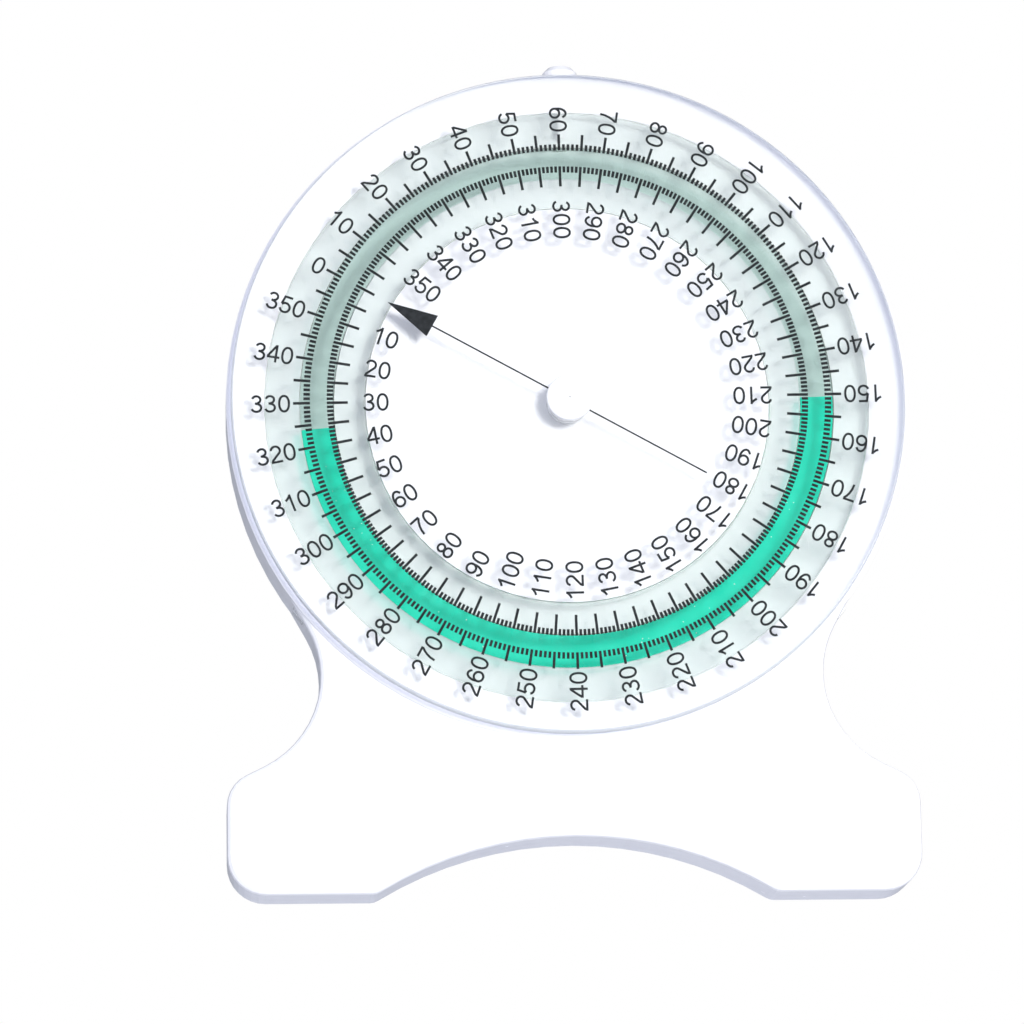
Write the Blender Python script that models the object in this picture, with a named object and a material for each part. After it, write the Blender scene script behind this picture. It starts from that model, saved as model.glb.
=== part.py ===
"""A fluid-level inclinometer that stands on two feet: a white drum with a waisted, arched base, a clear ring
capsule half full of green fluid, and a clear printed dial that turns on a small knob at the centre.

The front of the instrument faces -Y and it stands on z = 0. Every turned piece is described by a profile of
(radius, depth) points about the dial's axis, where depth runs back from the dial's front face.
"""

import math

import bmesh
import bpy
from mathutils import Matrix, Vector

MM = 0.001
GAP = 0.25 * MM  # between pieces that touch or run in each other
SEAM = 0.2 * MM  # between the two welded halves of the capsule

# Driving dimensions
FOOT_WIDTH = 89.4 * MM
DIAL_HEIGHT = 64.3 * MM  # dial axis above the feet
DRUM_RADIUS = 44.6 * MM
DIAL_RADIUS = 44.0 * MM
BODY_DEPTH = 12.6 * MM  # from the knob's face to the back cover

# Depths behind the dial's front face
KNOB_FACE = -0.8 * MM
DIAL_BACK = 2.0 * MM
RIM_FACE = DIAL_BACK + 0.3 * MM
BOSS_FACE = DIAL_BACK + 0.9 * MM  # leaves room for the thrust washer
FOOT_FACE = 2.8 * MM
FLOOR = 4.0 * MM  # white face below the dial, flush with the capsule
CAPSULE_SPLIT = 5.0 * MM
CAPSULE_BACK = 8.5 * MM
RECESS = 10.3 * MM  # seat of the back cover
BACK = KNOB_FACE + BODY_DEPTH
FACE_Y = -BODY_DEPTH / 2 - KNOB_FACE  # world y of the dial's front face

# Base outline, measured from the dial's axis
SOLE = -DIAL_HEIGHT
ARCH_RADIUS = 48.9 * MM
ARCH_TOP = -57.0 * MM
ARCH_LIP = 2.0 * MM
HEEL_RADIUS = 5.0 * MM
SHOULDER_RADIUS = 4.4 * MM
SHOULDER_SLOPE = math.radians(26)
WAIST_CENTRE = Vector((45.7 * MM, -35.9 * MM))
WAIST_RADIUS = 13.1 * MM
NECK_RADIUS = DRUM_RADIUS - 0.3 * MM  # circle that the waist's upper flank is tangent to
NECK_TOP = Vector((26.0 * MM, -6.0 * MM))  # where the base ends inside the drum
FRONT_ROUNDING = 1.0 * MM
WALL = 1.8 * MM
LIP = 1.2 * MM  # wall left round the back cover
FOOT_SKIN = 1.6 * MM
DRUM_SKIN = 1.2 * MM

# Drum interior
RIM_INNER = 43.0 * MM  # inside of the drum wall behind the floor
DISH_EDGE = 43.9 * MM  # where the floor below the dial, which slopes up from the capsule, meets the rim
GROOVE_INNER = 26.35 * MM
GROOVE_OUTER = 39.5 * MM
GROOVE_WALL = 1.6 * MM
BORE_RADIUS = 1.7 * MM
BOSS_RADIUS = 2.7 * MM
BOSS_BACK = 6.2 * MM

# Fluid capsule
CHANNEL_INNER = 30.4 * MM
CHANNEL_OUTER = 35.1 * MM
CHANNEL_DEPTH = 2.7 * MM
CHANNEL_CORNER = 1.6 * MM
PORT_RADIUS = 0.8 * MM
PORT_DEPTH = 6.5 * MM
PEG_ANGLE = math.radians(52)  # each side of straight down
PEG_INNER = 41.5 * MM
PEG_OUTER = 45.0 * MM
PEG_WIDTH = 2.0 * MM
PEG_FACE = 5.6 * MM
PEG_BACK = 7.4 * MM
FLUID_START = math.radians(185.4)  # left surface of the fluid, seen from the front
FLUID_ARC = math.radians(176.5)

# Fasteners and pivot
STEM_RADIUS = 1.5 * MM
KNOB_RADIUS = 3.05 * MM
KEY_HALF_WIDTH = 1.6 * MM
SCREW_SHANK = 1.0 * MM
SCREW_HEAD = 2.3 * MM
SCREW_BOSS = 2.6 * MM
ISLAND_SCREW_RADIUS = 15.0 * MM
FOOT_SCREWS = [(-36.5 * MM, -56.3 * MM), (36.5 * MM, -56.3 * MM), (0.0, -50.2 * MM)]
ISLAND_SCREWS = [
    (ISLAND_SCREW_RADIUS * math.cos(math.radians(a)), ISLAND_SCREW_RADIUS * math.sin(math.radians(a)))
    for a in (90, 210, 330)
]

DRUM_STEPS = 81
RING_STEPS = 72
SMALL_STEPS = 24
CHORD_ERROR = 0.03 * MM  # how far an outline's arcs may stray from the true curve


def start_scene():
    """Empties the scene and returns the empty that the whole instrument hangs on, on the dial's axis."""
    for obj in list(bpy.data.objects):
        bpy.data.objects.remove(obj)
    axis = bpy.data.objects.new("dial_axis", None)
    axis.location = (0, FACE_Y, DIAL_HEIGHT)
    bpy.context.scene.collection.objects.link(axis)
    return axis


def material(name, colour, roughness, metallic=0.0, transmission=0.0, ior=1.5):
    mat = bpy.data.materials.new(name)
    mat.use_nodes = True
    shader = mat.node_tree.nodes["Principled BSDF"]
    shader.inputs["Base Color"].default_value = (*colour, 1)
    shader.inputs["Roughness"].default_value = roughness
    shader.inputs["Metallic"].default_value = metallic
    shader.inputs["Transmission Weight"].default_value = transmission
    shader.inputs["IOR"].default_value = ior
    return mat


# ---------------------------------------------------------------- modelling helpers


def finish_mesh(name, bm, mat, axis):
    """Makes an object of a bmesh whose coordinates are measured from the dial's axis."""
    bmesh.ops.recalc_face_normals(bm, faces=bm.faces)
    mesh = bpy.data.meshes.new(name)
    bm.to_mesh(mesh)
    bm.free()
    mesh.shade_smooth()
    mesh.set_sharp_from_angle(angle=math.radians(35))
    obj = bpy.data.objects.new(name, mesh)
    obj.parent = axis
    bpy.context.scene.collection.objects.link(obj)
    if mat:
        mesh.materials.append(mat)
    return obj


def turned(name, profile, steps, mat, axis, start=0.0, sweep=math.tau, centre=(0.0, 0.0)):
    """Turns a closed profile of (radius, depth) points about Y, from the angle start over sweep radians."""
    bm = bmesh.new()
    loop = [bm.verts.new((r * math.cos(start), s, r * math.sin(start))) for r, s in profile]
    pairs = zip(loop, loop[1:] + loop[:1])
    sides = [bm.edges.new(pair) for pair in pairs if any(v.co.xz.length > 0 for v in pair)]
    whole = sweep > math.tau - 1e-6
    bmesh.ops.spin(
        bm, geom=loop + sides, cent=(0, 0, 0), axis=(0, -1, 0), angle=sweep, steps=steps, use_merge=whole
    )
    if not whole:
        bmesh.ops.holes_fill(bm, edges=bm.edges, sides=0)
    bmesh.ops.remove_doubles(bm, verts=bm.verts, dist=1e-6)
    bmesh.ops.translate(bm, verts=bm.verts, vec=(centre[0], 0, centre[1]))
    return finish_mesh(name, bm, mat, axis)


def plate(name, outline, front, back, mat, axis, rounding=0.0):
    """Extrudes an outline of (x, z) points from one depth to another, with its front edge rounded if asked."""
    bm = bmesh.new()
    face = bm.faces.new([bm.verts.new((x, front, z)) for x, z in outline])
    rim = list(face.edges)
    grown = bmesh.ops.extrude_face_region(bm, geom=[face], use_keep_orig=True)
    moved = [v for v in grown["geom"] if isinstance(v, bmesh.types.BMVert)]
    bmesh.ops.translate(bm, verts=moved, vec=(0, back - front, 0))
    if rounding:
        bmesh.ops.recalc_face_normals(bm, faces=bm.faces)
        bmesh.ops.bevel(
            bm, geom=rim, offset=rounding, segments=3, profile=0.5, affect="EDGES", clamp_overlap=True
        )
    return finish_mesh(name, bm, mat, axis)


def drum_core(name, radius, axis):
    """A solid disc on the dial's axis, deeper than the whole instrument, used as a cutter."""
    return turned(name, [(0, 0), (radius, 0), (radius, 2 * BACK), (0, 2 * BACK)], DRUM_STEPS, None, axis)


def rod(name, radius, start, end, axis, steps=SMALL_STEPS):
    """A cylinder between two points measured from the dial's axis, used as a cutter or a boss."""
    bm = bmesh.new()
    start, end = Vector(start), Vector(end)
    turn = (end - start).to_track_quat("Z", "Y").to_matrix().to_4x4()
    matrix = Matrix.Translation((start + end) / 2) @ turn
    bmesh.ops.create_cone(
        bm, cap_ends=True, segments=steps, radius1=radius, radius2=radius,
        depth=(end - start).length, matrix=matrix,
    )
    return finish_mesh(name, bm, None, axis)


def box(name, low, high, axis, mat=None):
    """A box between two corners measured from the dial's axis."""
    bm = bmesh.new()
    low, high = Vector(low), Vector(high)
    matrix = Matrix.Translation((low + high) / 2) @ Matrix.Diagonal((*(high - low), 1))
    bmesh.ops.create_cube(bm, size=1.0, matrix=matrix)
    return finish_mesh(name, bm, mat, axis)


def combine(obj, other, operation):
    """Joins another shape to obj or cuts it away, and hides it as a helper."""
    change = obj.modifiers.new(other.name, "BOOLEAN")
    change.operation = operation
    change.object = other
    change.solver = "EXACT"
    other.hide_render = True
    other.display_type = "WIRE"


def settle(obj):
    """Replaces obj's mesh with its evaluated one, so that copies can share it."""
    graph = bpy.context.evaluated_depsgraph_get()
    mesh = bpy.data.meshes.new_from_object(obj.evaluated_get(graph))
    obj.modifiers.clear()
    obj.data = mesh
    return mesh


# ---------------------------------------------------------------- outlines


def arc(centre, radius, start, end):
    """Points on an arc from one angle to another, both ends included."""
    step = 2 * math.acos(1 - CHORD_ERROR / radius)
    count = max(2, math.ceil(abs(end - start) / step))
    return [
        (
            centre[0] + radius * math.cos(start + (end - start) * i / count),
            centre[1] + radius * math.sin(start + (end - start) * i / count),
        )
        for i in range(count + 1)
    ]


def half_base(inset):
    """The right half of the base's outline, from the top of the arch round the foot and waist to the drum."""
    half_width = FOOT_WIDTH / 2 - inset
    sole = SOLE + inset
    arch = ARCH_RADIUS + inset
    arch_z = ARCH_TOP - ARCH_RADIUS
    lip = max(ARCH_LIP - inset, 0.3 * MM)
    heel = HEEL_RADIUS - inset
    shoulder = SHOULDER_RADIUS - inset
    waist = WAIST_RADIUS + inset

    # The lip rolls from the arch to the sole.
    lip_z = sole + lip
    lip_x = math.sqrt((arch + lip) ** 2 - (lip_z - arch_z) ** 2)
    lean = math.atan2(lip_z - arch_z, lip_x)
    points = arc((0, arch_z), arch, math.pi / 2, lean)
    points += arc((lip_x, lip_z), lip, lean + math.pi, math.radians(270))[1:]
    points += arc((half_width - heel, sole + heel), heel, math.radians(-90), 0)

    # The shoulder is tangent to the foot's side and to the slope that leads into the waist.
    low_angle = math.radians(270) - SHOULDER_SLOPE
    low = WAIST_CENTRE + waist * Vector((math.cos(low_angle), math.sin(low_angle)))
    run = half_width - shoulder - low.x
    drop = (shoulder + run * math.sin(SHOULDER_SLOPE)) / math.cos(SHOULDER_SLOPE)
    points += arc((half_width - shoulder, low.y - drop), shoulder, 0, math.pi / 2 - SHOULDER_SLOPE)

    # The waist's flank is tangent to the waist and to the neck circle, on opposite sides.
    neck = NECK_RADIUS - inset
    bearing = math.atan2(WAIST_CENTRE.y, WAIST_CENTRE.x)
    flank = bearing + math.acos((neck + waist) / WAIST_CENTRE.length)
    points += arc(WAIST_CENTRE, waist, low_angle, flank + math.pi)
    return points, (neck * math.cos(flank), neck * math.sin(flank))


def base_outline():
    """The closed outline of the base, ending inside the drum."""
    right, neck = half_base(0.0)
    right += [neck, tuple(NECK_TOP)]
    left = [(-x, z) for x, z in reversed(right[1:])]
    return right + left


def back_outline(inset):
    """The closed outline of the whole back, drum included, moved in by inset."""
    right, neck = half_base(inset)
    start = math.atan2(neck[1], neck[0])
    right += arc((0, 0), DRUM_RADIUS - inset, start, math.pi / 2)
    left = [(-x, z) for x, z in reversed(right[1:-1])]
    return right + left


# ---------------------------------------------------------------- housing


def drum_profile():
    """The drum turned in one piece: rim, floor, capsule groove, pivot boss and the pockets behind."""
    pocket_inner = GROOVE_OUTER + GROOVE_WALL
    return [
        (BORE_RADIUS, BOSS_FACE),
        (BOSS_RADIUS, BOSS_FACE),
        (BOSS_RADIUS, FLOOR),
        (GROOVE_INNER, FLOOR),
        (GROOVE_INNER, CAPSULE_BACK + GAP),
        (GROOVE_OUTER, CAPSULE_BACK + GAP),
        (GROOVE_OUTER, FLOOR),
        (DISH_EDGE, RIM_FACE),
        (DRUM_RADIUS - 0.3 * MM, RIM_FACE),
        (DRUM_RADIUS, RIM_FACE + 0.3 * MM),
        (DRUM_RADIUS, BACK),
        (RIM_INNER, BACK),
        (RIM_INNER, FLOOR + DRUM_SKIN),
        (pocket_inner, FLOOR + DRUM_SKIN),
        (pocket_inner, BACK),
        (GROOVE_INNER - GROOVE_WALL, BACK),
        (GROOVE_INNER - GROOVE_WALL, FLOOR + DRUM_SKIN),
        (BOSS_RADIUS, FLOOR + DRUM_SKIN),
        (BOSS_RADIUS, BOSS_BACK),
        (BORE_RADIUS, BOSS_BACK),
    ]


def front_housing(mat, axis):
    """The white moulding: drum and base in one, open at the back for the cover."""
    beyond = BACK + 1 * MM
    housing = turned("front_housing", drum_profile(), DRUM_STEPS, mat, axis)

    base = plate("base_body", base_outline(), FOOT_FACE, BACK, None, axis, rounding=FRONT_ROUNDING)
    hollow = plate("base_hollow", back_outline(WALL), FOOT_FACE + FOOT_SKIN, beyond, None, axis)
    combine(hollow, drum_core("drum_keep", DRUM_RADIUS + 0.4 * MM, axis), "DIFFERENCE")
    for i, (x, z) in enumerate(FOOT_SCREWS):
        boss = rod(f"foot_boss_{i}", SCREW_BOSS, (x, 0, z), (x, 2 * BACK, z), axis)
        combine(hollow, boss, "DIFFERENCE")
    combine(base, hollow, "DIFFERENCE")
    combine(base, drum_core("drum_clearance", DRUM_RADIUS - 0.8 * MM, axis), "DIFFERENCE")
    combine(housing, base, "UNION")

    for i, (x, z) in enumerate(ISLAND_SCREWS):
        boss = rod(f"island_boss_{i}", SCREW_BOSS, (x, FLOOR + DRUM_SKIN / 2, z), (x, RECESS + GAP, z), axis)
        combine(housing, boss, "UNION")
    recess = plate("cover_recess", back_outline(LIP), RECESS, beyond, None, axis)
    combine(housing, recess, "DIFFERENCE")
    for i, (x, z) in enumerate(FOOT_SCREWS + ISLAND_SCREWS):
        pilot_end = FLOOR + DRUM_SKIN + 0.4 * MM
        pilot = rod(f"pilot_{i}", SCREW_SHANK + GAP, (x, pilot_end, z), (x, beyond, z), axis, steps=16)
        combine(housing, pilot, "DIFFERENCE")
    for side in (-1, 1):
        combine(housing, peg_block(f"peg_slot_{side}", side, GAP, 2 * MM, None, axis), "DIFFERENCE")
    port = rod(
        "filler_passage", PORT_RADIUS + GAP, (0, PORT_DEPTH, GROOVE_OUTER - 1 * MM),
        (0, PORT_DEPTH, DRUM_RADIUS + 1 * MM), axis, steps=16,
    )
    combine(housing, port, "DIFFERENCE")
    return housing


def back_cover(mat, axis):
    """The flat plate that closes the back, with a countersunk hole for each screw."""
    cover = plate("back_cover", back_outline(LIP + GAP), RECESS + GAP, BACK, mat, axis)
    for i, centre in enumerate(FOOT_SCREWS + ISLAND_SCREWS):
        profile = [
            (0, RECESS - 1 * MM),
            (SCREW_SHANK + GAP, RECESS - 1 * MM),
            (SCREW_SHANK + GAP, BACK - 0.9 * MM),
            (SCREW_HEAD + GAP, BACK - 0.1 * MM),
            (SCREW_HEAD + GAP, BACK + 1 * MM),
            (0, BACK + 1 * MM),
        ]
        sink = turned(f"countersink_{i}", profile, SMALL_STEPS, None, axis, centre=centre)
        combine(cover, sink, "DIFFERENCE")
    return cover


# ---------------------------------------------------------------- fluid capsule


def channel_section(clearance):
    """The rounded floor and sides of the channel as (radius, depth) points, outer side first."""
    front = CAPSULE_SPLIT + SEAM
    floor = front + CHANNEL_DEPTH - clearance
    corner = CHANNEL_CORNER - clearance
    outer, inner = CHANNEL_OUTER - clearance, CHANNEL_INNER + clearance
    turn = [math.radians(a) for a in (0, 30, 60, 90)]
    outer_side = [(outer - corner + corner * math.cos(a), floor - corner + corner * math.sin(a)) for a in turn]
    inner_side = [(inner + corner - corner * math.cos(a), floor - corner + corner * math.sin(a)) for a in turn]
    return [(outer, front + clearance)] + outer_side + inner_side[::-1] + [(inner, front + clearance)]


def capsule(mat, axis):
    """The clear ring in two welded halves: a flat front lid and a back half that holds the channel."""
    inner, outer = GROOVE_INNER + GAP, GROOVE_OUTER - GAP
    lid = [(inner, FLOOR), (outer, FLOOR), (outer, CAPSULE_SPLIT), (inner, CAPSULE_SPLIT)]
    turned("capsule_front", lid, RING_STEPS, mat, axis)

    split = CAPSULE_SPLIT + SEAM
    body = [(outer, split), (outer, CAPSULE_BACK), (inner, CAPSULE_BACK), (inner, split)]
    back = turned("capsule_back", body + channel_section(0.0)[::-1], RING_STEPS, mat, axis)
    port = rod(
        "filler_port", PORT_RADIUS, (0, PORT_DEPTH, CHANNEL_OUTER - 1 * MM),
        (0, PORT_DEPTH, GROOVE_OUTER + 1 * MM), axis, steps=16,
    )
    combine(back, port, "DIFFERENCE")


def level_fluid(mat, axis):
    """The fluid in its channel, ending in a level surface at each side."""
    turned("level_fluid", channel_section(GAP), 36, mat, axis, start=FLUID_START, sweep=FLUID_ARC)


def peg_block(name, side, clearance, reach, mat, axis):
    """A square block through the drum's side wall, low on the left (-1) or right (1)."""
    peg = box(
        name, (-PEG_WIDTH / 2 - clearance, PEG_FACE - clearance, -PEG_OUTER - reach),
        (PEG_WIDTH / 2 + clearance, PEG_BACK + clearance, -PEG_INNER + reach / 2), axis, mat,
    )
    peg.data.transform(Matrix.Rotation(-side * PEG_ANGLE, 4, "Y"))
    return peg


def locating_pegs(mat, axis):
    """The two clear pegs pushed in through the drum's side wall."""
    peg_block("locating_peg_left", -1, 0.0, 0.0, mat, axis)
    peg_block("locating_peg_right", 1, 0.0, 0.0, mat, axis)


def fill_plug(mat, axis):
    """The plug in the filler port, whose head stands on top of the drum."""
    head, cap, chamfer = 2.3 * MM, 46.6 * MM, 0.7 * MM
    seat, tip = DRUM_RADIUS + GAP, 36.3 * MM
    profile = [
        (0, -tip), (PORT_RADIUS - GAP, -tip), (PORT_RADIUS - GAP, -seat), (head, -seat),
        (head, chamfer - cap), (head - chamfer, -cap), (0, -cap),
    ]
    plug = turned("fill_plug", profile, SMALL_STEPS, mat, axis)
    plug.data.transform(Matrix.Translation((0, PORT_DEPTH, 0)) @ Matrix.Rotation(math.radians(-90), 4, "X"))


# ---------------------------------------------------------------- dial and pivot


def dial_disc(mat, axis):
    """The clear dial, with a chamfered front edge and a square hole that keys it to the knob."""
    chamfer = 0.5 * MM
    profile = [
        (0, 0), (DIAL_RADIUS - chamfer, 0), (DIAL_RADIUS, chamfer), (DIAL_RADIUS, DIAL_BACK), (0, DIAL_BACK),
    ]
    disc = turned("dial_disc", profile, DRUM_STEPS, mat, axis)
    half = KEY_HALF_WIDTH + GAP
    combine(disc, box("key_hole", (-half, -1 * MM, -half), (half, 3 * MM, half), axis), "DIFFERENCE")


def dial_knob(mat, axis):
    """The knob, its square key through the dial and its round stem through the drum's boss."""
    crown = 0.25 * MM
    stem_end = BOSS_BACK + GAP
    profile = [
        (0, KNOB_FACE), (KNOB_RADIUS - 2 * crown, KNOB_FACE), (KNOB_RADIUS - 0.6 * crown, KNOB_FACE + 0.4 * crown),
        (KNOB_RADIUS, KNOB_FACE + 1.6 * crown), (KNOB_RADIUS, -GAP), (STEM_RADIUS, -GAP),
        (STEM_RADIUS, stem_end), (0, stem_end),
    ]
    knob = turned("dial_knob", profile, SMALL_STEPS, mat, axis)
    half = KEY_HALF_WIDTH
    combine(knob, box("key", (-half, -0.4 * MM, -half), (half, DIAL_BACK, half), axis), "UNION")
    pilot = rod("stem_pilot", 0.6 * MM, (0, 3 * MM, 0), (0, 9 * MM, 0), axis, steps=12)
    combine(knob, pilot, "DIFFERENCE")


def thrust_washer(mat, axis):
    """The thin plastic washer that the dial turns on, in front of the boss."""
    front, back = DIAL_BACK + GAP, BOSS_FACE - GAP
    ring = [(BORE_RADIUS, front), (BOSS_RADIUS, front), (BOSS_RADIUS, back), (BORE_RADIUS, back)]
    turned("thrust_washer", ring, SMALL_STEPS, mat, axis)


def wave_washer(mat, axis):
    """The spring washer behind the boss: a flat ring bent into three waves, which gives the dial its drag."""
    inner, outer, thick, lift = 1.9 * MM, 3.3 * MM, 0.2 * MM, 0.22 * MM
    middle = stem_washer_front() - GAP - lift - thick
    profile = [(inner, 0), (outer, 0), (outer, thick), (inner, thick)]
    ring = turned("wave_washer", profile, 36, mat, axis)
    for v in ring.data.vertices:
        v.co.y += middle + lift * math.cos(3 * math.atan2(v.co.z, v.co.x))


def stem_washer_front():
    """Depth of the flat washer that the retaining screw holds against the stem."""
    return BOSS_BACK + 2 * GAP + 0.66 * MM


def pivot_fasteners(mat, axis):
    """The flat washer and pan-head screw that hold the knob's stem from behind."""
    washer, thick = stem_washer_front(), 0.4 * MM
    ring = [(0.7 * MM, washer), (3.4 * MM, washer), (3.4 * MM, washer + thick), (0.7 * MM, washer + thick)]
    turned("retaining_washer", ring, SMALL_STEPS, mat, axis)
    seat = washer + thick + GAP
    head = seat + 1.0 * MM
    profile = [
        (0, 3.5 * MM), (0.4 * MM, 3.9 * MM), (0.4 * MM, seat), (1.9 * MM, seat), (1.9 * MM, head - 0.4 * MM),
        (1.5 * MM, head), (0, head),
    ]
    screw = turned("retaining_screw", profile, SMALL_STEPS, mat, axis)
    cut_cross(screw, head, 1.1 * MM)


def cut_cross(screw, face, reach):
    """Cuts a cross recess into a screw's head, whose outer face is at the given depth."""
    half, deep = 0.22 * MM, 0.55 * MM
    for name, x, z in (("across", reach, half), ("upright", half, reach)):
        slot = box(f"{screw.name}_{name}", (-x, face - deep, -z), (x, face + 1 * MM, z), screw.parent)
        combine(screw, slot, "DIFFERENCE")


def cover_screws(mat, axis):
    """Six countersunk screws, which share one mesh."""
    face = BACK - 0.1 * MM
    tip = FLOOR + DRUM_SKIN + 0.9 * MM
    profile = [
        (0, tip), (SCREW_SHANK * 0.4, tip), (SCREW_SHANK, tip + 0.9 * MM), (SCREW_SHANK, face - 0.85 * MM),
        (SCREW_HEAD, face - 0.12 * MM), (SCREW_HEAD, face), (0, face),
    ]
    pattern = turned("cover_screw_1", profile, SMALL_STEPS, mat, axis)
    cut_cross(pattern, face, 1.3 * MM)
    mesh = settle(pattern)
    for i, (x, z) in enumerate(FOOT_SCREWS + ISLAND_SCREWS):
        screw = pattern if i == 0 else bpy.data.objects.new(f"cover_screw_{i + 1}", mesh)
        screw.parent = axis
        screw.location = (x, 0, z)
        if i:
            bpy.context.scene.collection.objects.link(screw)


def main():
    axis = start_scene()
    white = material("white_plastic", (0.86, 0.87, 0.88), 0.28)
    clear = material("clear_acrylic", (0.93, 0.97, 0.95), 0.04, transmission=1.0, ior=1.49)
    green = material("green_fluid", (0.02, 0.72, 0.42), 0.05, transmission=0.6, ior=1.36)
    nylon = material("nylon", (0.78, 0.77, 0.72), 0.45)
    steel = material("zinc_steel", (0.62, 0.63, 0.65), 0.32, metallic=1.0)
    front_housing(white, axis)
    back_cover(white, axis)
    capsule(clear, axis)
    level_fluid(green, axis)
    locating_pegs(clear, axis)
    fill_plug(white, axis)
    dial_disc(clear, axis)
    dial_knob(white, axis)
    thrust_washer(nylon, axis)
    wave_washer(steel, axis)
    pivot_fasteners(steel, axis)
    cover_screws(steel, axis)


main()
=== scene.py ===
"""Looks for the fluid inclinometer: clear printed dial, clear capsule with green fluid, white moulded case.

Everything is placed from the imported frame. The dial faces -Y. A radius is measured from the dial's axis. An
angle runs anticlockwise from the right, seen from the front. A depth runs back from the dial's front face.
"""

import math
import random

import bmesh
import bpy
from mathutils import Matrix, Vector


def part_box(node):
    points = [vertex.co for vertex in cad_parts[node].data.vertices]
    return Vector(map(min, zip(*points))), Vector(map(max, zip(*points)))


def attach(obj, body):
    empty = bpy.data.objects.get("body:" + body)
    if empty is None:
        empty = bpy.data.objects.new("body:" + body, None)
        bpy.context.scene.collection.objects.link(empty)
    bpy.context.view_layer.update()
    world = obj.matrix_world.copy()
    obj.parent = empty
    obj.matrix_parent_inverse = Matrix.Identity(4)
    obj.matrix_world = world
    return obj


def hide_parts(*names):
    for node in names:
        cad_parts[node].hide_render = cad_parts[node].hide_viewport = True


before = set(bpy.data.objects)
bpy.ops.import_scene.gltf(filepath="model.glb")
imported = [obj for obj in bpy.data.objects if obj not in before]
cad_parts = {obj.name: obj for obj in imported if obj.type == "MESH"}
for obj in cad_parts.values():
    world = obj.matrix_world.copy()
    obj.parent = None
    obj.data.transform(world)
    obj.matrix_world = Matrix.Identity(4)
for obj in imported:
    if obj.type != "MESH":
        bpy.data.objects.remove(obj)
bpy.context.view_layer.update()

MM = 0.001

# ---------------------------------------------------------------- places read from the frame

DISC_LOW, DISC_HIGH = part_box("dial_disc")
CENTRE = Vector(((DISC_LOW.x + DISC_HIGH.x) / 2, 0, (DISC_LOW.z + DISC_HIGH.z) / 2))
FACE_Y = DISC_LOW.y
DISC_RADIUS = (DISC_HIGH.z - DISC_LOW.z) / 2
DISC_THICKNESS = DISC_HIGH.y - DISC_LOW.y
LID_LOW, LID_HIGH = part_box("capsule_front")
RING_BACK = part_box("capsule_back")[1].y
RING_OUTER = (LID_HIGH.z - LID_LOW.z) / 2 + 0.24 * MM  # nearly fills its groove
KNOB_LOW, KNOB_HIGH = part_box("dial_knob")
KNOB_RADIUS = (KNOB_HIGH.z - KNOB_LOW.z) / 2

# ---------------------------------------------------------------- the print, in units of the scale's radius

SCALE = 33.63 * MM
ZERO = math.radians(150.93)  # where the arrow and both zeros point
PRINT_CENTRE = Vector((-0.2 * MM, -0.1 * MM))  # from the dial's axis, fitted to the photograph's print
OUTER_TICKS = (0.998, 1.0229, 1.063)  # foot, end of a 1 degree tick, end of a 5 degree tick
INNER_TICKS = (0.9331, 0.9083, 0.8517)
TICK_WIDTH = 0.0105
DIGIT_HEIGHT = 0.0695
ADVANCE = 0.755  # from one digit to the next, of a digit's height
STROKE = 0.128  # of a digit's height
OUTER_NUMBERS_END = 1.072
INNER_NUMBERS_START = 0.797
ARROW_TIP, ARROW_BASE, ARROW_WIDTH = 0.792, 0.597, 0.094
LINE_END, LINE_WIDTH = -0.608, 0.0062
INK_LIFT = 0.006 * MM
INK_THICKNESS = 0.03 * MM

# ---------------------------------------------------------------- the capsule and its fluid

RING_INNER = 26.4 * MM
RING_DRAFT = 0.15 * MM  # how much narrower the ring is at its back
CHANNEL_INNER = 30.4 * MM
CHANNEL_OUTER = 34.95 * MM
CHANNEL_FRONT = 5.1 * MM
CHANNEL_BACK = 7.9 * MM
CHANNEL_FRONT_CORNER = 0.3 * MM
CHANNEL_BACK_CORNER = 1.5 * MM
CHANNEL_ROUND_STEPS = 8
FLUID_START = math.radians(185.4)
FLUID_ARC = math.radians(176.5)
FLUID_CLEARANCE = 0.06 * MM
MENISCUS = 0.45 * MM
FLUID_STEPS = 150
BUBBLES = 34
TURN_STEPS = 256  # round the dial's axis

# ---------------------------------------------------------------- the studio and the camera

FLOOR_Z = -0.16  # the instrument is held up, and the camera looks up at it
FLOOR_RADIUS = 8.0
CAMERA_PLACE = (-0.04892, -0.63317, -0.08761)
CAMERA_TURN = (102.267, 0.962, -3.544)  # degrees
CAMERA_LENS = 175.05
LIGHT_AIM = (0, 0, 0.055)
KEY_PLACE, KEY_SIZE, KEY_POWER = (0.24, -0.92, 0.11), 0.22, 7.2
KEY_COLOUR = (1.0, 0.985, 0.95)
BACK_PLACE, BACK_SIZE, BACK_POWER = (0.3, 0.9, 0.6), 0.8, 3.0
BACK_COLOUR = (1.0, 1.0, 1.0)
BRIGHT_SKY = (0.70, 0.73, 0.87)  # in front and to the left
DARK_SKY = (0.22, 0.24, 0.3)
DARK_SIDE = (0.62, 0.65, 0.43)  # the direction, behind and to the right, where the sky is dark
DARK_FULL = 0.9  # the dot product with that direction from which the sky is at its darkest
MIRRORED_ROOM = (0.16, 0.17, 0.18)  # what shiny surfaces reflect
THROUGH_CLEAR = 1.2  # extra sky light that comes through clear parts, tuned to the photograph's colours


# ---------------------------------------------------------------- materials


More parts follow.
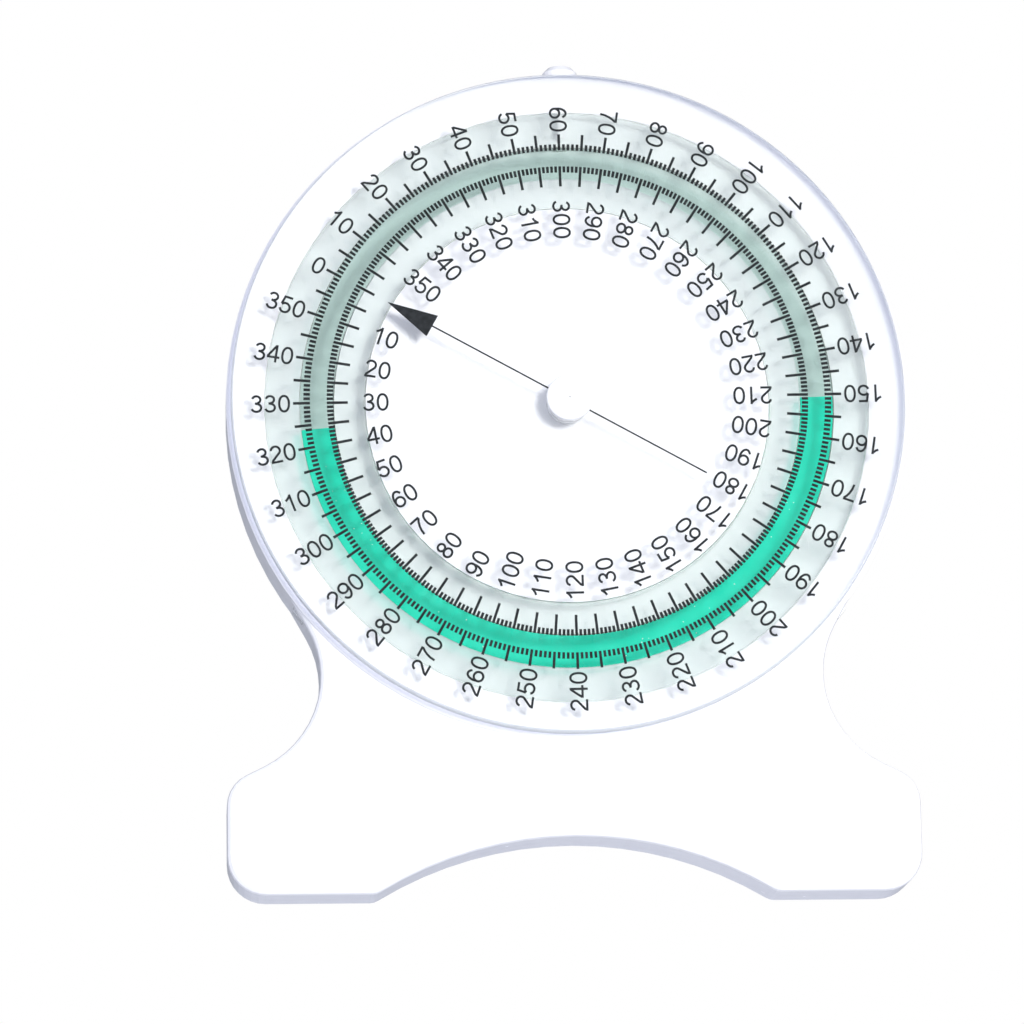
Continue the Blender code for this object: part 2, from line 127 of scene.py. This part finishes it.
class Nodes:
    """A small helper round one material's node tree."""

    def __init__(self, name):
        self.mat = bpy.data.materials.new(name)
        self.mat.use_nodes = True
        self.tree = self.mat.node_tree
        self.shader = self.tree.nodes["Principled BSDF"]
        self.output = self.tree.nodes["Material Output"]

    def add(self, kind, **settings):
        node = self.tree.nodes.new(kind)
        for key, value in settings.items():
            setattr(node, key, value)
        return node

    def link(self, source, target):
        self.tree.links.new(source, target)

    def set(self, **values):
        for key, value in values.items():
            self.shader.inputs[key.replace("_", " ")].default_value = value

    def noise(self, scale, detail=3.0, roughness=0.5, stretch=(1, 1, 1)):
        coords = self.add("ShaderNodeTexCoord")
        mapping = self.add("ShaderNodeMapping")
        mapping.inputs["Scale"].default_value = stretch
        texture = self.add("ShaderNodeTexNoise")
        texture.inputs["Scale"].default_value = scale
        texture.inputs["Detail"].default_value = detail
        texture.inputs["Roughness"].default_value = roughness
        self.link(coords.outputs["Object"], mapping.inputs["Vector"])
        self.link(mapping.outputs["Vector"], texture.inputs["Vector"])
        return texture.outputs["Fac"]

    def ramp(self, source, low, high, start=0.35, end=0.65):
        ramp = self.add("ShaderNodeValToRGB")
        ramp.color_ramp.elements[0].position = start
        ramp.color_ramp.elements[0].color = (*low, 1)
        ramp.color_ramp.elements[1].position = end
        ramp.color_ramp.elements[1].color = (*high, 1)
        self.link(source, ramp.inputs["Fac"])
        return ramp.outputs["Color"]

    def spread(self, source, low, high):
        spread = self.add("ShaderNodeMapRange")
        spread.inputs["To Min"].default_value = low
        spread.inputs["To Max"].default_value = high
        self.link(source, spread.inputs["Value"])
        return spread.outputs["Result"]

    def bump(self, source, strength, distance):
        bump = self.add("ShaderNodeBump")
        bump.inputs["Strength"].default_value = strength
        bump.inputs["Distance"].default_value = distance
        self.link(source, bump.inputs["Height"])
        self.link(bump.outputs["Normal"], self.shader.inputs["Normal"])

    def lamp_light_passes(self, tint):
        """Lets light from the lamps through clear stuff, tinted, so that what is behind it is lit."""
        path = self.add("ShaderNodeLightPath")
        clear = self.add("ShaderNodeBsdfTransparent")
        clear.inputs["Color"].default_value = (*tint, 1)
        mix = self.add("ShaderNodeMixShader")
        self.link(path.outputs["Is Shadow Ray"], mix.inputs["Fac"])
        self.link(self.shader.outputs["BSDF"], mix.inputs[1])
        self.link(clear.outputs["BSDF"], mix.inputs[2])
        self.link(mix.outputs["Shader"], self.output.inputs["Surface"])


def white_plastic(name, grain, grain_depth, low_rough, high_rough, shade=1.0):
    n = Nodes(name)
    tone = n.noise(60, detail=2)
    low = [shade * c for c in (0.855, 0.86, 0.872)]
    high = [shade * c for c in (0.885, 0.888, 0.895)]
    n.link(n.ramp(tone, low, high), n.shader.inputs["Base Color"])
    n.link(n.spread(n.noise(420), low_rough, high_rough), n.shader.inputs["Roughness"])
    n.set(IOR=1.5)
    n.bump(n.noise(grain, detail=2), 0.25, grain_depth)
    return n.mat


def clear_plastic(name, tint, lamp_tint, ripple=0.0, haze=0.0, roughness=0.0):
    n = Nodes(name)
    n.set(Base_Color=(*tint, 1), Transmission_Weight=1.0 - haze, IOR=1.49)
    n.link(n.spread(n.noise(900, detail=2), roughness, roughness + 0.02), n.shader.inputs["Roughness"])
    if ripple:
        n.bump(n.noise(160, detail=1), 0.2, ripple)
    n.lamp_light_passes(lamp_tint)
    return n.mat


def fluid_material():
    n = Nodes("green_fluid")
    tone = n.noise(220, detail=3)
    n.link(n.ramp(tone, (0.025, 0.78, 0.575), (0.055, 0.87, 0.66)), n.shader.inputs["Base Color"])
    n.set(Roughness=0.08, IOR=1.36, Transmission_Weight=0.25)
    # The faint green emission is a painted glow: the fluid gives off light though it is no lamp.
    n.set(Emission_Color=(0.0, 1.0, 0.7, 1), Emission_Strength=0.05)
    n.lamp_light_passes((0.6, 0.96, 0.9))
    return n.mat


def ink_material():
    n = Nodes("black_ink")
    tone = n.noise(1500, detail=2)
    n.link(n.ramp(tone, (0.012, 0.014, 0.015), (0.026, 0.029, 0.031)), n.shader.inputs["Base Color"])
    n.link(n.spread(n.noise(2600), 0.42, 0.6), n.shader.inputs["Roughness"])
    return n.mat


def nylon_material():
    n = Nodes("nylon")
    n.link(n.ramp(n.noise(700), (0.92, 0.92, 0.93), (0.95, 0.95, 0.96)), n.shader.inputs["Base Color"])
    n.set(Roughness=0.42)
    n.bump(n.noise(1800), 0.2, 0.02 * MM)
    return n.mat


def steel_material():
    n = Nodes("zinc_steel")
    n.link(n.ramp(n.noise(500), (0.52, 0.53, 0.55), (0.68, 0.69, 0.7)), n.shader.inputs["Base Color"])
    n.link(n.spread(n.noise(1400, stretch=(1, 1, 6)), 0.22, 0.42), n.shader.inputs["Roughness"])
    n.set(Metallic=1.0)
    n.bump(n.noise(2400), 0.15, 0.02 * MM)
    return n.mat


def floor_material():
    n = Nodes("pale_floor")
    n.link(n.ramp(n.noise(3), (0.86, 0.865, 0.89), (0.89, 0.895, 0.92)), n.shader.inputs["Base Color"])
    n.set(Roughness=0.75)
    return n.mat


# ---------------------------------------------------------------- mesh helpers


def place(radius, depth, angle):
    """World place of a point given by its radius, depth and angle round the dial's axis."""
    return Vector((
        CENTRE.x + radius * math.cos(angle), FACE_Y + depth, CENTRE.z + radius * math.sin(angle),
    ))


def add_copy(bm, other):
    """Adds another bmesh's faces to this one, keeping which way they face, and frees the other."""
    verts = {v: bm.verts.new(v.co) for v in other.verts}
    for face in other.faces:
        bm.faces.new([verts[v] for v in face.verts]).material_index = face.material_index
    other.free()


def new_piece(name, bm, materials, body, smooth_angle=35, tidy=True):
    if tidy:
        bmesh.ops.recalc_face_normals(bm, faces=bm.faces)
    mesh = bpy.data.meshes.new(name)
    bm.to_mesh(mesh)
    bm.free()
    if smooth_angle:
        mesh.shade_smooth()
        mesh.set_sharp_from_angle(angle=math.radians(smooth_angle))
    for mat in materials:
        mesh.materials.append(mat)
    obj = bpy.data.objects.new(name, mesh)
    bpy.context.scene.collection.objects.link(obj)
    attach(obj, body)
    return obj


def join_loops(bm, first, second, material_index=0):
    """Joins two closed loops of vertices with a band of quads."""
    count = len(first)
    for j in range(count):
        k = (j + 1) % count
        bm.faces.new((first[j], first[k], second[k], second[j])).material_index = material_index


def add_lathe(bm, profile, steps=TURN_STEPS, material_index=0):
    """Turns a closed profile of (radius, depth) points round the dial's axis."""
    rings = [
        [bm.verts.new(place(r, d, math.tau * i / steps)) for r, d in profile] for i in range(steps)
    ]
    for i, ring in enumerate(rings):
        join_loops(bm, ring, rings[(i + 1) % steps], material_index)
    bmesh.ops.remove_doubles(bm, verts=bm.verts, dist=0.0001 * MM)
    wires = [e for e in bm.edges if not e.link_faces]
    bmesh.ops.delete(bm, geom=wires, context="EDGES")


def rounded(corners, steps=5):
    """Rounds a profile's corners, each given as (radius, depth, rounding)."""
    points = []
    for i, (r, d, size) in enumerate(corners):
        here = Vector((r, d))
        before = Vector(corners[i - 1][:2])
        after = Vector(corners[(i + 1) % len(corners)][:2])
        if not size:
            points.append((r, d))
            continue
        a = here + (before - here).normalized() * size
        b = here + (after - here).normalized() * size
        for j in range(steps + 1):
            t = j / steps
            p = a * (1 - t) ** 2 + here * 2 * t * (1 - t) + b * t**2
            points.append((p.x, p.y))
    return points


# ---------------------------------------------------------------- digits


def bend(cx, cy, rx, ry, start, end, count=20, square=2.0):
    """Points on part of an ellipse, in degrees; square above 2 makes it boxier."""
    points = []
    for i in range(count + 1):
        a = math.radians(start + (end - start) * i / count)
        c, s = math.cos(a), math.sin(a)
        points.append((
            cx + rx * math.copysign(abs(c) ** (2 / square), c),
            cy + ry * math.copysign(abs(s) ** (2 / square), s),
        ))
    return points


def hoop(cx, cy, rx, ry, square=2.0):
    return bend(cx, cy, rx, ry, 0, 360, 32, square)[:-1]


def turned_round(points):
    """Points turned half round about the middle of a digit."""
    middle_x, middle_y = 0.3885, 0.495
    return [(2 * middle_x - x, 2 * middle_y - y) for x, y in points]


def digit_strokes():
    """Centre lines of a plain sans-serif 0 to 9, one unit high: (points, closed) for each stroke."""
    bowl = hoop(0.395, 0.32, 0.262, 0.262)
    hook = bend(0.408, 0.50, 0.277, 0.44, 34, 196, 24)
    return {
        "0": [(hoop(0.388, 0.495, 0.268, 0.44, 2.2), True)],
        "1": [([(0.46, 0.0), (0.46, 1.0)], False), ([(0.16, 0.70), (0.30, 0.775), (0.455, 0.925)], False)],
        "2": [(bend(0.378, 0.70, 0.25, 0.24, 172, -38, 18) + [(0.16, 0.17), (0.125, 0.059)], False),
              ([(0.06, 0.059), (0.70, 0.059)], False)],
        "3": [(bend(0.365, 0.738, 0.225, 0.202, 165, -80, 18), False),
              (bend(0.362, 0.282, 0.265, 0.225, 96, -165, 22), False),
              ([(0.28, 0.525), (0.41, 0.522)], False)],
        "4": [([(0.53, 0.0), (0.53, 1.0)], False), ([(0.505, 0.95), (0.075, 0.33)], False),
              ([(0.03, 0.295), (0.735, 0.295)], False)],
        "5": [([(0.66, 0.94), (0.215, 0.94), (0.135, 0.50)], False),
              (bend(0.372, 0.32, 0.27, 0.262, 146, -165, 24), False)],
        "6": [(bowl, True), (hook, False)],
        "7": [([(0.07, 0.93), (0.69, 0.93)], False),
              ([(0.665, 0.90), (0.53, 0.73), (0.42, 0.52), (0.345, 0.28), (0.315, 0.0)], False)],
        "8": [(hoop(0.388, 0.742, 0.213, 0.198), True), (hoop(0.388, 0.285, 0.258, 0.226), True)],
        "9": [(turned_round(bowl), True), (turned_round(hook), False)],
    }


def ribbon(points, closed, width):
    """Left and right outlines of a line drawn along points."""
    left, right = [], []
    count = len(points)
    for i, point in enumerate(points):
        here = Vector(point)
        before = Vector(points[i - 1]) if closed or i else here
        after = Vector(points[(i + 1) % count]) if closed or i < count - 1 else here
        into = (here - before).normalized() if before != here else (after - here).normalized()
        out = (after - here).normalized() if after != here else into
        along = (into + out).normalized()
        side = Vector((-along.y, along.x)) * (width / 2) / max(0.5, along.dot(out))
        left.append(here + side)
        right.append(here - side)
    return left, right


def stroke_solid(points, closed, width, name):
    """A flat ribbon one unit thick, as an object in glyph space (x, y) with its thickness along z."""
    left, right = ribbon(points, closed, width)
    bm = bmesh.new()
    rows = [[bm.verts.new((*p, z)) for p in side] for z in (0, 1) for side in (left, right)]
    spans = range(len(points) if closed else len(points) - 1)
    for i in spans:
        j = (i + 1) % len(points)
        for a, b in ((0, 1), (3, 2), (2, 0), (1, 3)):
            bm.faces.new((rows[a][i], rows[b][i], rows[b][j], rows[a][j]))
    if not closed:
        for i in (0, -1):
            bm.faces.new([rows[k][i] for k in (0, 1, 3, 2)])
    bmesh.ops.recalc_face_normals(bm, faces=bm.faces)
    mesh = bpy.data.meshes.new(name)
    bm.to_mesh(mesh)
    bm.free()
    obj = bpy.data.objects.new(name, mesh)
    bpy.context.scene.collection.objects.link(obj)
    return obj


def glyph_mesh(strokes):
    """One clean solid for a digit: its strokes joined with exact Booleans."""
    parts = [
        stroke_solid(points, closed, STROKE, f"stroke_{i}") for i, (points, closed) in enumerate(strokes)
    ]
    for other in parts[1:]:
        join = parts[0].modifiers.new(other.name, "BOOLEAN")
        join.operation, join.object, join.solver = "UNION", other, "EXACT"
    graph = bpy.context.evaluated_depsgraph_get()
    mesh = bpy.data.meshes.new_from_object(parts[0].evaluated_get(graph))
    for part in parts:
        bpy.data.objects.remove(part)
    return mesh


def ink_point(radial, tangential, layer, angle):
    """World place of a print point: layer 0 lies on the dial, layer 1 is the ink's face."""
    along = Vector((math.cos(angle), math.sin(angle)))
    across = Vector((-along.y, along.x))
    p = PRINT_CENTRE + (along * radial + across * tangential) * SCALE
    return Vector((CENTRE.x + p.x, FACE_Y - INK_LIFT - layer * INK_THICKNESS, CENTRE.z + p.y))


def add_glyph(bm, mesh, start, angle):
    """Sets a digit reading inwards along the radius, its left side at the radius start."""
    verts = [
        bm.verts.new(ink_point(
            start - v.co.x * DIGIT_HEIGHT, -(v.co.y - 0.5) * DIGIT_HEIGHT, v.co.z, angle,
        ))
        for v in mesh.vertices
    ]
    for face in mesh.polygons:
        bm.faces.new([verts[i] for i in face.vertices])


def add_bar(bm, r0, r1, width0, width1, angle):
    """A printed bar along the radius, from r0 to r1, whose width may change."""
    corners = []
    for layer in (0, 1):
        for r, w in ((r0, width0), (r1, width1)):
            for side in (-1, 1):
                corners.append(bm.verts.new(ink_point(r, side * w / 2, layer, angle)))
    for quad in ((0, 1, 3, 2), (4, 6, 7, 5), (0, 4, 5, 1), (2, 3, 7, 6), (0, 2, 6, 4), (1, 5, 7, 3)):
        bm.faces.new([corners[i] for i in quad])


def print_numbers(name, glyphs, direction, values, first_radius, ink):
    bm = bmesh.new()
    for value in values:
        text = str(value)
        angle = ZERO + direction * math.radians(value)
        for i, digit in enumerate(text):
            add_glyph(bm, glyphs[digit], first_radius(len(text)) - i * ADVANCE * DIGIT_HEIGHT, angle)
    return new_piece(name, bm, [ink], "dial", smooth_angle=0)


def print_ticks(name, ends, ink):
    foot, short, long = ends
    bm = bmesh.new()
    for degree in range(360):
        end = short if degree % 5 else long
        add_bar(bm, foot, end, TICK_WIDTH, TICK_WIDTH, ZERO + math.radians(degree))
    return new_piece(name, bm, [ink], "dial", smooth_angle=0)


def print_arrow(ink):
    bm = bmesh.new()
    add_bar(bm, ARROW_BASE, ARROW_TIP, ARROW_WIDTH, 0.002, ZERO)
    add_bar(bm, LINE_END, ARROW_BASE, LINE_WIDTH, LINE_WIDTH, ZERO)
    return new_piece("dial_arrow", bm, [ink], "dial", smooth_angle=0)


def print_dial(ink):
    glyphs = {digit: glyph_mesh(strokes) for digit, strokes in digit_strokes().items()}
    step = ADVANCE * DIGIT_HEIGHT
    print_numbers(
        "dial_numbers_outer", glyphs, -1, range(0, 360, 10), lambda n: OUTER_NUMBERS_END + n * step, ink,
    )
    print_numbers(
        "dial_numbers_inner", glyphs, 1, range(10, 360, 10), lambda n: INNER_NUMBERS_START, ink,
    )
    print_ticks("dial_ticks_outer", OUTER_TICKS, ink)
    print_ticks("dial_ticks_inner", INNER_TICKS, ink)
    print_arrow(ink)


# ---------------------------------------------------------------- clear parts and fluid


def ring_place(face):
    """Radius and depth of a face's middle."""
    middle = face.calc_center_median()
    return math.hypot(middle.x - CENTRE.x, middle.z - CENTRE.z), middle.y - FACE_Y


def dial_plate(clear, edge, bevel):
    """The clear disc with its sawn, slightly rounded edge and the bore its knob goes through; the edge and
    its bevel carry painted shade.
    """
    bore, chamfer = 1.75 * MM, 0.3 * MM
    face_round, edge_round = 0.12 * MM, 0.2 * MM
    face_skin = 0.05 * MM  # faces no deeper than this belong to the disc's front
    bm = bmesh.new()
    add_lathe(bm, rounded([
        (bore, 0, 0), (DISC_RADIUS - chamfer, 0, face_round), (DISC_RADIUS, chamfer, edge_round),
        (DISC_RADIUS, DISC_THICKNESS, face_round), (bore, DISC_THICKNESS, 0),
    ]))
    for face in bm.faces:
        radius, depth = ring_place(face)
        if radius > DISC_RADIUS - chamfer and depth > face_skin:
            face.material_index = 1 if depth > chamfer else 2
    plate = new_piece("dial_plate", bm, [clear, edge, bevel], "dial")
    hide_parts("dial_disc")


def channel_corners(clearance):
    """The channel's section, drawn in by a clearance, as corners for rounded()."""
    inner, outer = CHANNEL_INNER + clearance, CHANNEL_OUTER - clearance
    front, back = CHANNEL_FRONT + clearance, CHANNEL_BACK - clearance
    return [
        (inner, front, CHANNEL_FRONT_CORNER), (outer, front, CHANNEL_FRONT_CORNER),
        (outer, back, CHANNEL_BACK_CORNER), (inner, back, CHANNEL_BACK_CORNER),
    ]


def capsule_ring(flange, film, window, rim):
    """The clear capsule, its two halves welded into one, round the channel that holds the fluid."""
    front, back = LID_LOW.y - FACE_Y, RING_BACK - FACE_Y
    front_round, back_round = 0.1 * MM, 0.35 * MM
    band = 0.25 * MM  # how far the rim's own look reaches in from the ring's two edges
    back_skin = 0.1 * MM  # faces nearer the ring's back than this belong to the back
    bm = bmesh.new()
    add_lathe(bm, rounded([
        (RING_INNER, front, front_round), (CHANNEL_INNER, front, 0), (CHANNEL_OUTER, front, 0),
        (RING_OUTER, front, front_round), (RING_OUTER - RING_DRAFT, back, back_round),
        (RING_INNER, back, back_round),
    ]))
    for face in bm.faces:
        radius, depth = ring_place(face)
        if CHANNEL_INNER < radius < CHANNEL_OUTER and depth < CHANNEL_FRONT:
            face.material_index = 2
        if radius > RING_OUTER - RING_DRAFT - band and depth < back - back_skin:
            face.material_index = 3
        if radius < RING_INNER + band:
            face.material_index = 3
    bmesh.ops.recalc_face_normals(bm, faces=bm.faces)
    cavity = bmesh.new()
    add_lathe(cavity, rounded(channel_corners(0.0), CHANNEL_ROUND_STEPS), material_index=1)
    bmesh.ops.recalc_face_normals(cavity, faces=cavity.faces)
    bmesh.ops.reverse_faces(cavity, faces=cavity.faces)
    add_copy(bm, cavity)
    materials = [flange, film, window, rim]
    ring = new_piece("capsule_ring", bm, materials, "housing", tidy=False)
    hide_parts("capsule_front", "capsule_back")


def meniscus(bm, outer, section, end, inwards):
    """Closes one end of the fluid with a surface that climbs the channel's walls."""
    middle = Vector(((CHANNEL_INNER + CHANNEL_OUTER) / 2, (CHANNEL_FRONT + CHANNEL_BACK) / 2))
    climb = MENISCUS / middle.x
    for share in (0.9, 0.75, 0.5, 0.25):
        angle = end + inwards * climb * (1 - share**3)
        points = [middle + (Vector(corner) - middle) * share for corner in section]
        inner = [bm.verts.new(place(p.x, p.y, angle)) for p in points]
        join_loops(bm, outer, inner)
        outer = inner
    bm.faces.new(outer)


def fluid_body(mat):
    """The fluid, with a small meniscus at each of its two surfaces."""
    section = rounded(channel_corners(FLUID_CLEARANCE), CHANNEL_ROUND_STEPS)
    bm = bmesh.new()
    rings = []
    for i in range(FLUID_STEPS + 1):
        angle = FLUID_START + FLUID_ARC * i / FLUID_STEPS
        rings.append([bm.verts.new(place(r, d, angle)) for r, d in section])
    for before, after in zip(rings, rings[1:]):
        join_loops(bm, before, after)
    meniscus(bm, rings[0], section, FLUID_START, 1)
    meniscus(bm, rings[-1], section, FLUID_START + FLUID_ARC, -1)
    fluid = new_piece("fluid", bm, [mat], "fluid", smooth_angle=40)
    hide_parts("level_fluid")


def filler_mouth(mat):
    """The edge of the filler passage at the top of the channel, just outside the channel's wall."""
    depth = (CHANNEL_FRONT + CHANNEL_BACK) / 2
    inner, outer = 0.6 * MM, 0.8 * MM
    low, high = CHANNEL_OUTER + 0.03 * MM, CHANNEL_OUTER + 0.2 * MM
    steps = 24
    bm = bmesh.new()
    rings = []
    for i in range(steps):
        c, s = math.cos(math.tau * i / steps), math.sin(math.tau * i / steps)
        rings.append([
            bm.verts.new((CENTRE.x + size * c, FACE_Y + depth + size * s, CENTRE.z + height))
            for size, height in ((inner, high), (outer, high), (outer, low), (inner, low))
        ])
    for i, ring in enumerate(rings):
        join_loops(bm, ring, rings[(i + 1) % steps])
    new_piece("filler_mouth", bm, [mat], "housing")


def bubbles(mat):
    """Tiny air bubbles that cling to the front of the fluid, in a flat white that is a painted highlight for
    the light an air bubble catches.
    """
    wall = 0.6 * MM  # how far bubbles keep from the channel's walls
    flatness = 0.5
    depth = CHANNEL_FRONT + FLUID_CLEARANCE - 0.01 * MM
    random.seed(7)
    bm = bmesh.new()
    for _ in range(BUBBLES):
        angle = FLUID_START + FLUID_ARC * random.uniform(0.03, 0.97)
        radius = random.uniform(CHANNEL_INNER + wall, CHANNEL_OUTER - wall)
        size = random.uniform(0.035, 0.085) * MM
        middle = place(radius, depth, angle)
        for vert in bmesh.ops.create_icosphere(bm, subdivisions=2, radius=size)["verts"]:
            vert.co.y *= flatness
            vert.co += middle
    new_piece("fluid_bubbles", bm, [mat], "fluid")


def knob_profile():
    """The knob's section: gate mark, crowned face, round edge, key, and a stem with a screw hole."""
    front, back = KNOB_LOW.y - FACE_Y, KNOB_HIGH.y - FACE_Y
    edge, crown = 0.4 * MM, 0.04 * MM  # rounding of the face's edge, and how far the face falls to it
    crown_end = KNOB_RADIUS - edge - 0.02 * MM
    gap = 0.06 * MM  # between the knob and the dial
    key, stem, lead_in = 1.7 * MM, 1.5 * MM, 0.2 * MM
    hole, hole_wall_end, hole_tip = 0.6 * MM, 3.2 * MM, 3.0 * MM
    gate_mark = ((0, 0.12), (0.14, 0.1), (0.24, 0.01), (0.4, 0))  # radius and depth in mm
    profile = [(r * MM, front + d * MM) for r, d in gate_mark] + [(crown_end, front + crown)]
    profile += [
        (KNOB_RADIUS - edge + edge * math.sin(a), front + crown + edge - edge * math.cos(a))
        for a in (math.radians(x) for x in range(10, 91, 10))
    ]
    profile += [(KNOB_RADIUS, -gap), (key, -gap), (key, DISC_THICKNESS), (stem, DISC_THICKNESS)]
    profile += [(stem, back - lead_in), (stem - lead_in, back), (hole, back)]
    return profile + [(hole, hole_wall_end), (0, hole_tip)]


def knob(mat, gate):
    """The moulded knob, with the gate mark in the middle of its face in a darker material of its own, painted
    shade for the mark's small dent.
    """
    gate_radius = 0.15 * MM
    bm = bmesh.new()
    add_lathe(bm, knob_profile(), steps=96)
    for face in bm.faces:
        radius, depth = ring_place(face)
        face.material_index = int(radius < gate_radius and depth < 0)
    piece = new_piece("knob", bm, [mat, gate], "dial", smooth_angle=40)
    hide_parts("dial_knob")


# ---------------------------------------------------------------- scene


def dress_frame(materials):
    """Gives each carried-over CAD node its material."""
    for node, mat in materials.items():
        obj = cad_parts[node]
        if not obj.material_slots:
            obj.data.materials.append(mat)
        for slot in obj.material_slots:
            slot.material = mat


def area_light(name, place_at, size, power, colour):
    light = bpy.data.lights.new(name, "AREA")
    light.shape = "DISK"
    light.size = size
    light.energy = power
    light.color = colour
    obj = bpy.data.objects.new(name, light)
    obj.location = place_at
    obj.rotation_euler = (Vector(LIGHT_AIM) - Vector(place_at)).to_track_quat("-Z", "Y").to_euler()
    obj.visible_glossy = False
    obj.visible_transmission = False
    bpy.context.scene.collection.objects.link(obj)


def world_node(tree, kind, inputs, **settings):
    """Adds a node; an input that is given a socket is linked to it, and any other is set to the value."""
    node = tree.nodes.new(kind)
    for key, value in settings.items():
        setattr(node, key, value)
    for key, value in inputs.items():
        if isinstance(value, bpy.types.NodeSocket):
            tree.links.new(value, node.inputs[key])
        else:
            node.inputs[key].default_value = value
    return node


def sky_colour(tree):
    """Bright in front and to the left, and dark behind and to the right."""
    coords = world_node(tree, "ShaderNodeTexCoord", {})
    toward_dark = world_node(
        tree, "ShaderNodeVectorMath",
        {0: coords.outputs["Generated"], 1: DARK_SIDE}, operation="DOT_PRODUCT",
    )
    share = world_node(
        tree, "ShaderNodeMapRange",
        {"Value": toward_dark.outputs["Value"], "From Min": 0.0, "From Max": DARK_FULL},
        interpolation_type="SMOOTHSTEP",
    )
    colours = world_node(
        tree, "ShaderNodeMix",
        {"Factor": share.outputs["Result"], "A": (*BRIGHT_SKY, 1), "B": (*DARK_SKY, 1)},
        data_type="RGBA",
    )
    return colours.outputs["Result"]


def studio_world():
    """The sky lights the scene, is dim where it is mirrored, and is white to the camera."""
    world = bpy.data.worlds.new("studio")
    bpy.context.scene.world = world
    world.use_nodes = True
    tree = world.node_tree
    tree.nodes.clear()
    path = world_node(tree, "ShaderNodeLightPath", {})
    strength = world_node(
        tree, "ShaderNodeMath",
        {0: path.outputs["Is Transmission Ray"], 1: THROUGH_CLEAR, 2: 1.0}, operation="MULTIPLY_ADD",
    )
    sky = world_node(
        tree, "ShaderNodeBackground",
        {"Color": sky_colour(tree), "Strength": strength.outputs["Value"]},
    )
    room = world_node(tree, "ShaderNodeBackground", {"Color": (*MIRRORED_ROOM, 1)})
    mirrored = world_node(
        tree, "ShaderNodeMath",
        {0: path.outputs["Is Glossy Ray"], 1: path.outputs["Diffuse Depth"]},
        operation="SUBTRACT", use_clamp=True,
    )
    lit = world_node(
        tree, "ShaderNodeMixShader",
        {"Fac": mirrored.outputs["Value"], 1: sky.outputs["Background"], 2: room.outputs["Background"]},
    )
    white = world_node(tree, "ShaderNodeBackground", {"Color": (1, 1, 1, 1)})
    seen = world_node(
        tree, "ShaderNodeMixShader",
        {"Fac": path.outputs["Is Camera Ray"], 1: lit.outputs["Shader"], 2: white.outputs["Background"]},
    )
    world_node(tree, "ShaderNodeOutputWorld", {"Surface": seen.outputs["Shader"]})


def studio_floor():
    bm = bmesh.new()
    bmesh.ops.create_circle(bm, cap_ends=True, segments=96, radius=FLOOR_RADIUS)
    mesh = bpy.data.meshes.new("floor")
    bm.to_mesh(mesh)
    bm.free()
    mesh.materials.append(floor_material())
    floor = bpy.data.objects.new("floor", mesh)
    floor.location.z = FLOOR_Z
    bpy.context.scene.collection.objects.link(floor)


def studio_camera():
    scene = bpy.context.scene
    camera = bpy.data.cameras.new("camera")
    camera.lens = CAMERA_LENS
    camera.sensor_width = 36
    camera.clip_start = 0.01
    camera.clip_end = 50
    obj = bpy.data.objects.new("camera", camera)
    obj.location = CAMERA_PLACE
    obj.rotation_euler = [math.radians(a) for a in CAMERA_TURN]
    scene.collection.objects.link(obj)
    scene.camera = obj


def studio():
    studio_world()
    area_light("key", KEY_PLACE, KEY_SIZE, KEY_POWER, KEY_COLOUR)
    area_light("back_fill", BACK_PLACE, BACK_SIZE, BACK_POWER, BACK_COLOUR)
    scene = bpy.context.scene
    scene.view_settings.view_transform = "Standard"
    scene.cycles.transparent_max_bounces = 32
    studio_floor()
    studio_camera()


def main():
    white = white_plastic("white_plastic", 1300, 0.012 * MM, 0.2, 0.3)
    satin = white_plastic("white_satin_plastic", 3200, 0.03 * MM, 0.38, 0.5)
    knob_white = white_plastic("white_knob_plastic", 1600, 0.01 * MM, 0.22, 0.32)
    # The gate mark's halved white is painted shade, standing in for the shadow in the mark's small dent.
    gate_mark_painted_shade = white_plastic("gate_mark_painted_shade", 1600, 0.01 * MM, 0.5, 0.6, shade=0.5)
    dial_clear = clear_plastic("dial_acrylic", (0.985, 0.993, 0.99), (1.0, 1.0, 1.0))
    # The edge's and bevel's darker tints are painted shade for the dark lines refraction draws there; their
    # dark bluish lamp tints paint a lavender shadow beside the disc.
    dial_edge = clear_plastic(
        "dial_sawn_edge_painted_shade", (0.72, 0.75, 0.78), (0.3, 0.32, 0.45), haze=0.6, roughness=0.3,
    )
    dial_bevel_painted_shade = clear_plastic("dial_bevel_painted_shade", (0.6, 0.62, 0.66), (0.5, 0.52, 0.65), haze=0.5, roughness=0.3)
    flange = clear_plastic(
        "capsule_acrylic", (0.89, 0.935, 0.925), (0.89, 0.91, 0.905), ripple=0.02 * MM, haze=0.4,
    )
    rim = clear_plastic("capsule_rim", (0.95, 0.975, 0.93), (0.92, 0.94, 0.92), haze=0.15, roughness=0.35)
    window = clear_plastic("capsule_window", (0.95, 0.97, 0.97), (0.96, 0.97, 0.97))
    film = clear_plastic("channel_wall", (0.86, 0.975, 0.955), (0.91, 0.955, 0.945))
    peg_clear = clear_plastic("peg_acrylic", (0.93, 0.95, 0.95), (0.95, 0.98, 0.975), haze=0.85)
    steel = steel_material()
    nylon = nylon_material()

    dressed = {
        "front_housing": white, "back_cover": satin, "fill_plug": white,
        "locating_peg_left": peg_clear, "locating_peg_right": peg_clear,
        "thrust_washer": nylon, "wave_washer": steel, "retaining_washer": steel,
        "retaining_screw": steel,
    }
    dressed.update({f"cover_screw_{i}": steel for i in range(1, 7)})
    dress_frame(dressed)

    dial_plate(dial_clear, dial_edge, dial_bevel_painted_shade)
    capsule_ring(flange, film, window, rim)
    filler_mouth(rim)
    fluid_body(fluid_material())
    # The bubbles borrow the white nylon material: painted highlight for the light that air bubbles catch.
    bubbles(nylon)
    knob(knob_white, gate_mark_painted_shade)
    print_dial(ink_material())
    studio()


main()
